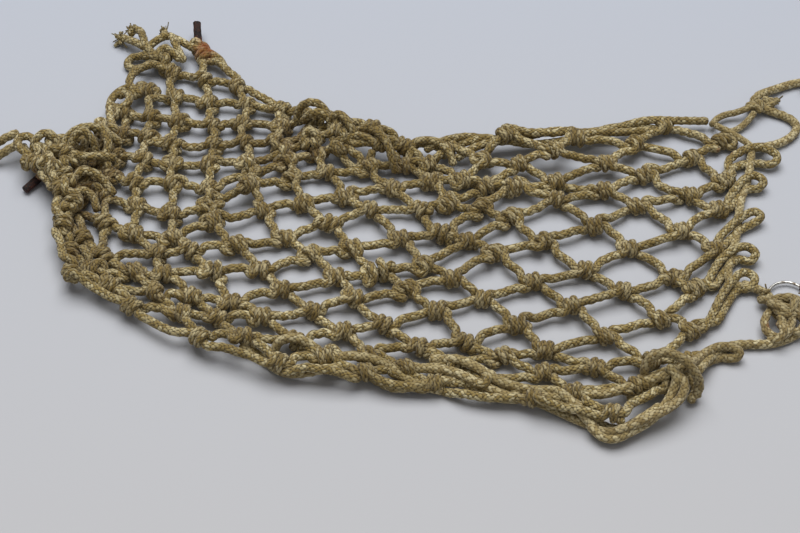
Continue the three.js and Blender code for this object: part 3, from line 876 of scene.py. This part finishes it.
# Loops at the two ends, where the cord turns back into the next row. The left ones and those at
# the right corners are short. The other right ones are long, doubled, and reach past the side
# cord, which is threaded through them: for each row, the line of its loop, out and back.
SHORT_LOOP = 6.6 * MM
LOOP_BELLY = 2.8 * MM
RIGHT_LOOPS = {
    13: [(125.8, 50.7, 3.4), (131.6, 55.8, 4.4), (137, 57.6, 5), (142.4, 55.8, 4.8),
         (145, 52.4, 4), (142.2, 49.9, 3), (137, 51, 2.4), (131.6, 50.6, 2.2), (126.4, 47.4, 2.6)],
    11: [(123.2, 30.4, 3.4), (127.2, 36.4, 4.4), (130.9, 40.6, 5), (134.9, 42.2, 4.8),
         (137.9, 39.8, 4), (135.6, 37.2, 2.8), (131.4, 37.2, 2.2), (126.8, 32.4, 2.2),
         (123, 26.6, 2.6)],
    9: [(116.4, 8.6, 3.4), (121.2, 15, 4.4), (126.4, 19.8, 5), (131.9, 23.2, 4.8),
        (134.6, 21.8, 4), (131.8, 19.4, 2.8), (126.4, 16.4, 2.2), (121, 10.6, 2.2), (116, 4.6, 2.6)],
    7: [(111.4, -9.4, 3.4), (116, -1.6, 4.4), (121.6, 3.8, 5), (127.2, 5.4, 4.8),
        (129.9, 2.4, 4), (127.4, -0.2, 2.8), (123.6, 1.6, 2.2), (117.6, -4.8, 2.2),
        (112.6, -12.4, 2.6)],
    5: [(110, -27.4, 3.4), (114.6, -18.4, 4.4), (119.4, -11.4, 5), (124.4, -7, 4.8),
        (128, -9.2, 4), (126.2, -12.6, 2.8), (121.4, -13.4, 2.2), (116.4, -20.6, 2.2),
        (111.6, -28.6, 2.6)],
}
for end, column in (("left", 0), ("right", COLUMNS)):
    inward = abs(column - 1)
    for j in range(column % 2, ROWS + 1, 2):
        if end == "right" and j in RIGHT_LOOPS:
            continue
        knot = knot_at[column, j]
        beside = [knot_at[inward, k] for k in (j - 1, j + 1) if (inward, k) in knot_at]
        outward = knot_aims[knot] - np.mean([knot_aims[k] for k in beside], axis=0)
        outward[2] = 0
        outward /= np.linalg.norm(outward)
        belly = np.array((-outward[1], outward[0], 0.5)) * LOOP_BELLY
        add_bar((end, j), knot, knot, 2.25 * SHORT_LOOP, outward * SHORT_LOOP, belly, LOOP_STEPS)

spots = np.array(spots)
spot_size, spot_pull = np.array(spot_size), np.array(spot_pull)
near_knot, next_knot, bar_of = np.array(near_knot), np.array(next_knot), np.array(bar_of)
SPOT_CLEAR = 1.05  # how high a spot stays above the surface, in its own size


def strangers(a, b):
    """Whether two spots may push each other: not on one bar, and not inside one knot."""
    same_bar = (bar_of[a] == bar_of[b]) & (bar_of[a] >= 0)
    same_knot = (near_knot[a] == near_knot[b]) & (near_knot[a] >= 0)
    beside = (next_knot[b] == a) | (next_knot[a] == b)
    return ~(same_bar | same_knot | beside)


settled = settle(
    spots, links, np.array(link_rest), spot_size, strangers, rounds=170, stiff=0.12, bends=bends,
    aims=spots, pull=spot_pull, ground=spot_size * SPOT_CLEAR,
)


def neighbour(i, j, across, along):
    """Where the next knot lies on one side, or the spot opposite its mate if there is none."""
    for side in (1, -1):
        for key in ((i + side * across, j + side * along), (i + side * 2 * across, j)):
            if key in knot_at:
                spot = settled[knot_at[key]]
                return spot if side == 1 else 2 * settled[knot_at[i, j]] - spot


# For each knot, its near row's cord and its far row's cord, from left to right. No two knots are
# alike: each is turned a little about its axes, and some are tied the other way round or face down.
AXES_VARY = ((1, 2, 0.3), (0, 2, 0.2), (0, 1, 0.25))  # two axes, and the spread in radians
OTHER_WAY, FACE_DOWN = 0.3, 0.3  # the shares that are
KNOT_SIZES = (0.94, 1.08)
knot_lines = {}
for (i, j), knot in knot_at.items():
    pull = neighbour(i, j, 1, 1) - neighbour(i, j, -1, -1)
    pull /= np.linalg.norm(pull)
    aside = neighbour(i, j, -1, 1) - neighbour(i, j, 1, -1)
    aside -= pull * (aside @ pull)
    aside /= np.linalg.norm(aside)
    axes = np.array((pull, aside, np.cross(pull, aside)))
    for first, second, spread in AXES_VARY:
        turn = net_dice.normal(0, spread)
        one, other = axes[first].copy(), axes[second].copy()
        axes[first] = one * math.cos(turn) + other * math.sin(turn)
        axes[second] = other * math.cos(turn) - one * math.sin(turn)
    cores = [NEAR_CORE, FAR_CORE]
    if net_dice.random() < OTHER_WAY:
        cores = [core[::-1] * (-1, -1, 1) for core in cores[::-1]]
    face = -1 if net_dice.random() < FACE_DOWN else 1
    size = KNOT_CORD * net_dice.uniform(*KNOT_SIZES) * BIG_KNOTS.get((i, j), 1)
    knot_lines[i, j] = [settled[knot] + core * (1, 1, face) * size @ axes for core in cores]


def row_line(row):
    """A row's whole line, from its first knot to its last."""
    line = []
    previous = None
    for knot, is_wrap in row_knots(row):
        if previous is not None:
            line += [settled[k] for k in bars[row, previous][1:-1]]
        line += list(knot_lines[knot][1 if is_wrap else 0])
        previous = knot
    return line


def end_loop_line(end, j):
    """The line of the loop at a row's end."""
    if end == "right" and j in RIGHT_LOOPS:
        return list(placed(RIGHT_LOOPS[j]))
    return [settled[k] for k in bars[end, j][1:-1]]


# a run of cord ties two rows and the loops at their ends; the net's first and last row, which edge
# it, are lengths of their own
runs = []
for row in range(0, ROWS, 2):
    line = row_line(row) + end_loop_line("right", row + 1) + row_line(row + 1)[::-1]
    before, after = end_loop_line("left", row), end_loop_line("left", row + 2)
    middle = len(before) // 2
    runs.append(before[middle:] + line + after[:middle + 1])
near_line = end_loop_line("left", 0)[:2][::-1] + row_line(-1)
far_line = end_loop_line("left", ROWS)[1:] + row_line(ROWS)

SMOOTH_OVER = 2


def smoothed(points):
    """The cord's line at even steps, its corners eased as a stiff cord eases them."""
    line = curve_through(points, RING_STEP)
    for _ in range(SMOOTH_OVER):
        line[1:-1] = line[1:-1] * 0.5 + (line[:-2] + line[2:]) * 0.25
    return lifted(line, NET_CORD / 2)


KNOT_EDGE, KNOT_FADE = 2.8 * MM, 2.4 * MM  # from a knot's middle to its edge, and past it
# how crowded and how low a point lies in a bunch, which sets the painted shade there
CROWD_REACH = 13 * MM
FREE_KNOTS, CROWDED_BY = 4, 5  # knots within that reach in the open net, and more in a bunch
BUNCH_FLOOR, BUNCH_HEIGHT = 3 * MM, 7 * MM


def knotted_share(line):
    """How far each point of a line is inside a knot, from 0 to 1, and how deep in a bunch."""
    reach = np.linalg.norm(line[:, None] - settled[None, :KNOTS], axis=2)
    share = np.clip(1 - (reach.min(axis=1) - KNOT_EDGE) / KNOT_FADE, 0, 1)
    crowd = np.clip(((reach < CROWD_REACH).sum(axis=1) - FREE_KNOTS) / CROWDED_BY, 0, 1)
    return share, crowd * np.clip(1 - (line[:, 2] - BUNCH_FLOOR) / BUNCH_HEIGHT, 0, 1)


# More of the net's cord, where it stands out of its bunches: loops and strands at the left end,
# loops on the rolled shoulder of the far edge, and an arch and two strands along that edge.
LEFT_BIGHTS = (
    [(-137.6, 48, 4), (-140, 49.4, 7), (-143, 51, 8.6), (-145.6, 53.4, 8.8), (-146.8, 56.6, 8.4),
     (-145.4, 59.4, 8.6), (-142.2, 59.4, 8.4), (-139.6, 57, 7), (-138, 54, 6)],
    [(-145.4, 58, 5), (-143.4, 55.4, 4), (-141.6, 52, 3.4), (-138.4, 48, 3.4), (-136.8, 44, 3.4)],
    [(-140.6, 52, 5), (-139.6, 54.6, 10), (-137.4, 56, 12.6), (-134.2, 56.2, 13.6),
     (-131.2, 54.6, 12), (-130, 52, 9)],
    [(-136.4, 54, 5), (-134, 57.4, 7.6), (-130, 58.4, 9), (-126, 57, 9)],
    [(-128.5, 51, 8), (-127.4, 55.4, 11), (-124, 57.6, 13.6), (-119.6, 58.8, 14.4),
     (-115, 59.4, 13), (-111, 58.6, 10.4), (-107.6, 57.4, 7)],
    [(-125.4, 49, 9), (-124, 53, 14), (-120.5, 55, 16), (-117, 53, 13), (-115.6, 50.4, 8)],
    [(-137, 42, 4), (-133.5, 46, 8.4), (-129, 47.5, 11), (-123.5, 46.5, 12), (-118.5, 45.5, 11.6),
     (-113.5, 47, 10.4), (-108.6, 48.5, 8)],
    [(-132.5, 37, 4), (-128, 38.2, 9), (-123.6, 36.4, 8), (-119.6, 38.6, 10.4),
     (-114.6, 38.2, 10), (-110.8, 35.6, 7.4), (-107.6, 32.4, 5)],
    [(-142, 53, 5), (-139.2, 47.8, 7), (-135.6, 42.8, 7.4), (-131, 38.4, 5)],
    [(-134.6, 56, 10), (-133.4, 51.8, 10.6), (-134.2, 47.6, 9), (-135.6, 43, 5)],
    [(-126, 28, 3), (-122.4, 27.2, 8), (-118.8, 30, 9), (-115, 28.8, 7.6), (-112.8, 23.8, 5)],
    [(-114.4, 47, 7), (-111.2, 51.6, 10), (-112.4, 57, 11.6), (-115, 60.6, 12)],
    [(-110.6, 66, 5), (-113.4, 74, 5), (-114, 83, 5.6), (-110.8, 88, 6.2), (-106.4, 89.6, 6.6),
     (-102.6, 86.4, 6)],
    [(-104.6, 85.6, 5), (-107.4, 91, 7), (-106.6, 97, 7.2), (-103, 101.6, 6.6), (-98.6, 104.4, 5.6),
     (-94, 102, 5)],
    [(-112.6, 81, 4), (-109.6, 78.4, 6), (-106.6, 80.4, 7.4), (-107.4, 84.6, 7.6),
     (-111.2, 85.6, 6)],
)
SHOULDER_BIGHTS = (
    [(-40.4, 71.6, 5), (-39.2, 73.4, 10), (-35.7, 73.4, 13.4), (-31.7, 71.8, 14.4),
     (-28.8, 69.6, 12.6), (-26.8, 67, 8.6)],
    [(-37.6, 70, 7), (-34, 68.6, 12.4), (-30, 67.6, 13.4), (-26.8, 65.6, 10.8), (-27, 62.4, 7)],
    [(-27.4, 65.8, 11), (-23.9, 65.8, 14.4), (-20.6, 62.8, 14.6), (-18.2, 59.4, 12),
     (-15.6, 58.6, 8)],
    [(-26, 59, 8), (-23, 54.6, 5.6), (-19.9, 49.8, 3.6), (-16, 47.2, 3.4), (-12.3, 49.2, 4.8),
     (-10.6, 52, 8)],
    [(-15.6, 61, 9), (-10.7, 59.2, 12.6), (-6.9, 55, 13.4), (-4.2, 50, 12), (-2.8, 46, 8.6),
     (-1.6, 44, 5)],
    [(-28, 54.6, 6), (-23, 56.3, 9), (-17.3, 58, 10.6), (-12.2, 56, 11), (-8.2, 53, 9)],
    [(-37.6, 58.4, 6), (-35.4, 61.4, 9.6), (-32.4, 60.4, 9.6), (-31.4, 58.2, 7),
     (-33.8, 56, 4.4)],
    [(3, 50, 4), (5.5, 57, 7.5), (9.5, 58, 8), (14.5, 57, 8), (18.5, 53, 7), (20.5, 49, 4)],
    [(10, 56, 5), (16, 58.4, 7), (25, 60.6, 7.4), (36, 61.4, 5.4), (48, 63, 5), (60, 65.4, 6),
     (72, 66, 4.6), (84, 68.2, 5), (96, 71.2, 6), (108, 72.6, 4.6), (120, 73, 4)],
    [(22, 53, 3.6), (30, 56.4, 6.4), (40, 58.8, 7), (50, 59, 5), (62, 60.6, 5), (74, 63.4, 6.6),
     (86, 65, 5.6), (97, 67.6, 4)],
)

net_cloth = braided_cloth(
    "khaki net cotton", strand=colour(170, 148, 91), bright=colour(226, 212, 166),
    dark=colour(50, 33, 13), dirt=colour(134, 113, 61), depth=0.36 * MM,
    rust=(
        (placed([(-79, 113.4, 5)])[0], 6.4 * MM), (placed([(-135, 44, 3)])[0], 7 * MM),
        (placed([(125.4, 55.6, 4)])[0], 3.2 * MM),
    ),
)
# how far the cord is darkened: in the knots by dirt and painted shade, deep in the bunches and along
# the bights by painted shade
KNOT_SOIL_AND_SHADE, DEPTH_SHADE, BIGHT_SHADE = 0.24, 0.9, 0.1
NET_PARTS = (  # name, first run and the one after the last, more cord
    ("net_near", 0, 2, LEFT_BIGHTS), ("net_near_middle", 2, 4, ()),
    ("net_far_middle", 4, 6, ()), ("net_far", 6, 8, SHOULDER_BIGHTS),
)
for name, first_run, last_run, bights in NET_PARTS:
    lines = [smoothed(run) for run in runs[first_run:last_run]]
    if first_run == 0:
        lines.append(smoothed(near_line))
    if last_run == len(runs):
        lines.append(smoothed(far_line))
    radii, soils_and_shades = [], []
    for line in lines:
        share, depth = knotted_share(line)
        radii.append(NET_CORD / 2 + (KNOT_CORD * KNOT_SWELL - NET_CORD) / 2 * share)
        soils_and_shades.append(np.clip(KNOT_SOIL_AND_SHADE * share + DEPTH_SHADE * depth, 0, 1))
    for route in bights:
        line = lifted(curve_through(placed(route), RING_STEP), NET_CORD / 2)
        lines.append(line)
        radii.append(NET_CORD / 2)
        soils_and_shades.append(BIGHT_SHADE + DEPTH_SHADE * knotted_share(line)[1])
    piece = cord_mesh(name, lines, radii, sides=KNOT_SIDES, soils_and_shades=soils_and_shades)
    fitted(piece, net_cloth, "net_mesh")


# Frayed ends
# The net cord's two ends, above the top of the left end: a knot with unlaid ends that stand out,
# a free loop, and the turn that holds the top rod, stained with its rust.
FRAYED_TURNS = (
    [(-98, 110.6, 4.4), (-101.7, 113.4, 5), (-105.1, 116.2, 5.4), (-108.6, 118.8, 5.2),
     (-112.3, 122, 4), (-115, 123.4, 3.2)],
    [(-100.6, 111.4, 5.4), (-103, 114.6, 6.4), (-104.5, 118.8, 7), (-106.2, 123.3, 6.8),
     (-109, 125.8, 5.6), (-110.6, 124, 4.8)],
    [(-103.4, 112, 4.4), (-101.5, 116, 5.6), (-98.5, 118.8, 6.4), (-96, 120.4, 6.8),
     (-96.6, 123.6, 6)],
    [(-97, 120, 7), (-93.2, 119.4, 7.4), (-91.4, 115.8, 7), (-89.3, 111.4, 5.6),
     (-87.6, 108.2, 4.4)],
    [(-93, 121, 5.6), (-89.6, 118, 6.4), (-85.6, 115.2, 6), (-81.6, 113.6, 5.8),
     (-77, 112, 5), (-72.8, 108.6, 4.2), (-70.6, 104.4, 3.4)],
    [(-95.6, 110, 6), (-98.8, 110.6, 5.4), (-101.6, 110.8, 4.4), (-105.7, 112.4, 3),
     (-109.2, 111.8, 2.4), (-110.6, 108.8, 2), (-108.5, 106, 2), (-104.3, 105.4, 3),
     (-100.5, 106.4, 4.6), (-97, 108.4, 5.6)],
    [(-94, 106.6, 4), (-97.4, 108.6, 7.4), (-95.4, 111.6, 8), (-91.8, 110.4, 6.6),
     (-89.4, 108.2, 5)],
    [(-85.4, 115.6, 4), (-83.4, 117.4, 6.8), (-81, 115.8, 5.6), (-82.4, 113.4, 3.6)],
    overhand((-96.4, 108.8, 5.4), 7.4, 20, 10),
)
knotted(
    "frayed_ends", "frayed_knot", net_cloth, FRAYED_TURNS, NET_CORD / 2,
    frays=(
        frayed_end((-115.4, 123.8, 3.2), (-1, 0.4, 0), cord_dice, strands=9, fibres=24, reach=2.6),
        frayed_end((-115, 122.6, 2.6), (-0.3, -1, 0), cord_dice, strands=2, fibres=3, reach=3.4),
        frayed_end((-109.6, 126, 6), (-0.3, 1, 0.2), cord_dice, strands=9, fibres=24, reach=2.2),
        frayed_end((-96.8, 124.2, 6), (-0.1, 1, 0.4), cord_dice, strands=7, fibres=18, reach=2.4),
    ),
)


# Draw cord and side cord
# The smoother braid that gathers the near edge and the one threaded through the loops of the
# right edge. The draw cord runs back beside itself and ends in the corner's heavy knot.
RIM_CORD, RIM_CLEAR = 3.5, 0.75  # millimetres


def beside_rim(column):
    """A point just outside the near edge of the laid net."""
    before, after = lay(max(column - 0.02, 0), 0), lay(min(column + 0.02, COLUMNS), 0)
    way = (after - before)[:2] / np.linalg.norm((after - before)[:2])
    return lay(column, 0)[:2] + np.array((way[1], -way[0])) * (RIM_CORD / 2 + RIM_CLEAR)


WEAVE = 2.4  # how often the draw cord goes in and out of the edge, in radians a column
WEAVE_ROW, WEAVE_DEPTH = 1.2, 0.55  # how far in: towards which row, and what share of the way
WEAVE_LOW, WEAVE_HIGH = 1.8, 5.2  # millimetres
FIRST_DRAWN, DRAW_STEP = 11, 0.35  # columns
draw_route = []
for column in np.arange(FIRST_DRAWN, COLUMNS + 0.01, DRAW_STEP):
    inward, upward = 0.5 + 0.5 * math.sin(column * WEAVE), 0.5 + 0.5 * math.cos(column * WEAVE)
    rim = beside_rim(column)
    spot = rim + (lay(column, WEAVE_ROW)[:2] - rim) * WEAVE_DEPTH * inward
    draw_route.append((*spot, WEAVE_LOW + (WEAVE_HIGH - WEAVE_LOW) * upward))
side_route = [
    (135.9, 59, 3), (134.6, 52, 3), (133, 44.7, 2.8), (130.5, 37.4, 2.6), (128.5, 32, 2.4),
    (126.4, 23, 2.4), (124, 12, 2.4), (120.6, 1, 2.4), (118.8, -6, 2.8), (119.6, -11.4, 3.2),
    (123, -12.6, 3),
]
DRAW_RETURNS = (
    [(-44, -42.6, 3), (-41.9, -41, 6.4), (-37.5, -41, 8.6), (-32.6, -42, 7.6), (-28.4, -44, 5.4),
     (-24.6, -47, 4), (-19, -49.4, 3.6)],
    [(-22, -46.4, 5), (-15.6, -47.4, 6.4), (-9.7, -49, 7), (-4.1, -51.4, 6), (0.7, -54.6, 4),
     (8.6, -58, 3), (14, -59.4, 2.6)],
    [(-4, -51.2, 4.4), (3, -51.8, 5), (10.3, -52.6, 6), (18.9, -54.6, 6.4), (26.7, -58.4, 5.4),
     (35.8, -62.4, 4), (45.9, -64.6, 3.2), (52.4, -67.4, 2.4), (58.6, -70.8, 2),
     (64.6, -74, 2)],
    [(11, -46.6, 4), (14.6, -48, 5.4), (20, -49.6, 7.4), (26.8, -53.6, 7.6), (34.2, -58.6, 6.6),
     (44.3, -61.4, 5.6), (53.4, -62.4, 6), (57.6, -66.4, 6), (61.4, -71.4, 5), (66, -77, 3.6)],
    [(56, -59.4, 4), (60, -61, 4), (68, -62.8, 4.8), (78.2, -61, 6.6), (85, -59.4, 8.6),
     (91, -58.4, 10)],
    [(64, -76, 4), (67.4, -79.4, 3.4), (71.2, -80.6, 3.6), (77.2, -78, 4), (84.3, -73.4, 4.4),
     (89.4, -68, 5.4), (92.6, -63.4, 8), (93.4, -60, 11), (91, -57.4, 13)],
)
for name, routes in (("draw_cord", [draw_route, *DRAW_RETURNS]), ("side_cord", [side_route])):
    knotted(
        name + "_braid", name, draw_cloth, routes, DRAW_CORD / 2, sides=CORD_SIDES,
    )

CORNER_TURNS = (
    [(85.6, -58.6, 3), (83.4, -56.4, 8.5), (84.8, -54.4, 13.6), (89.4, -54, 16.4),
     (94.9, -56.2, 16.4), (99.2, -59, 13.2), (101.6, -60.8, 8), (101, -62.2, 3.4)],
    [(88, -57, 5), (91.4, -56.8, 9), (94.6, -59.4, 10.6), (96.2, -63, 10), (94.6, -67, 8.4),
     (90, -70.8, 7.4), (83.6, -74.2, 6.8), (76.6, -77.2, 6), (70.4, -78.6, 4.6), (66, -77, 3.4)],
    [(94, -56, 8), (98, -54, 10), (101.4, -50.4, 7.4), (106, -45, 5.4), (111.6, -41.8, 4.8),
     (116.2, -42.2, 4.4), (118.2, -43.8, 3.6), (116.4, -44.8, 2.2), (111.6, -44.4, 1.8),
     (106.2, -47, 2.2), (101.4, -51.6, 3)],
    [(84, -56, 3), (88.4, -58.6, 3), (93, -59.6, 3.4), (98.4, -58.8, 3)],
    [(78, -62.6, 3), (84, -61.4, 4.4), (89.6, -61.4, 6), (94, -59, 7)],
    [(99, -63.6, 2.4), (101, -60, 3.4), (99.6, -56.4, 5), (95.6, -54.8, 5.4)],
)
# its turns are darkened a little, by dirt and painted shade
knotted(
    "corner_knot_turns", "corner_knot", draw_cloth, CORNER_TURNS, DRAW_CORD / 2,
    soil_and_shade=0.2,
)


# Floor and light
# A pale floor, painted bluer towards the back for the cool light there, and soft light from above and
# behind, with a weaker one from the front.
BLUER_FROM, BLUER_TO = -0.95, -0.6  # metres forward of the floor's middle

bpy.ops.mesh.primitive_plane_add(size=6, location=(0, 0.8, 0))
floor = bpy.context.object
floor.name = "floor"
floor_paint, tree, shader = new_material("pale floor")
here = add_node(tree, "ShaderNodeTexCoord").outputs["Object"]
forward = add_node(tree, "ShaderNodeSeparateXYZ", {0: here}).outputs["Y"]
# painted light: the floor turns bluer and a little darker towards the back, for the cool window light
pale = blended(tree, ranged(tree, forward, BLUER_FROM, BLUER_TO), colour(198, 198, 200),
               colour(186, 192, 204))
tree.links.new(pale, shader.inputs["Base Color"])
shader.inputs["Roughness"].default_value = 0.8
floor.data.materials.append(floor_paint)

for name, place, size, power in (
    ("window", (-0.05, 0.6, 1.8), 1.7, 39), ("room", (0.6, -1.2, 1.6), 2.4, 3),
):
    lamp = bpy.data.lights.new(name, "AREA")
    lamp.size = size
    lamp.energy = power
    holder = bpy.data.objects.new(name, lamp)
    holder.location = place
    holder.rotation_euler = (Vector(place) - VIEW_MIDDLE).to_track_quat("Z", "Y").to_euler()
    bpy.context.collection.objects.link(holder)

world = bpy.data.worlds.new("room light")
bpy.context.scene.world = world
world.use_nodes = True
world.node_tree.nodes["Background"].inputs["Color"].default_value = colour(222, 222, 226)
world.node_tree.nodes["Background"].inputs["Strength"].default_value = 0.2
bpy.context.scene.view_settings.view_transform = "Standard"
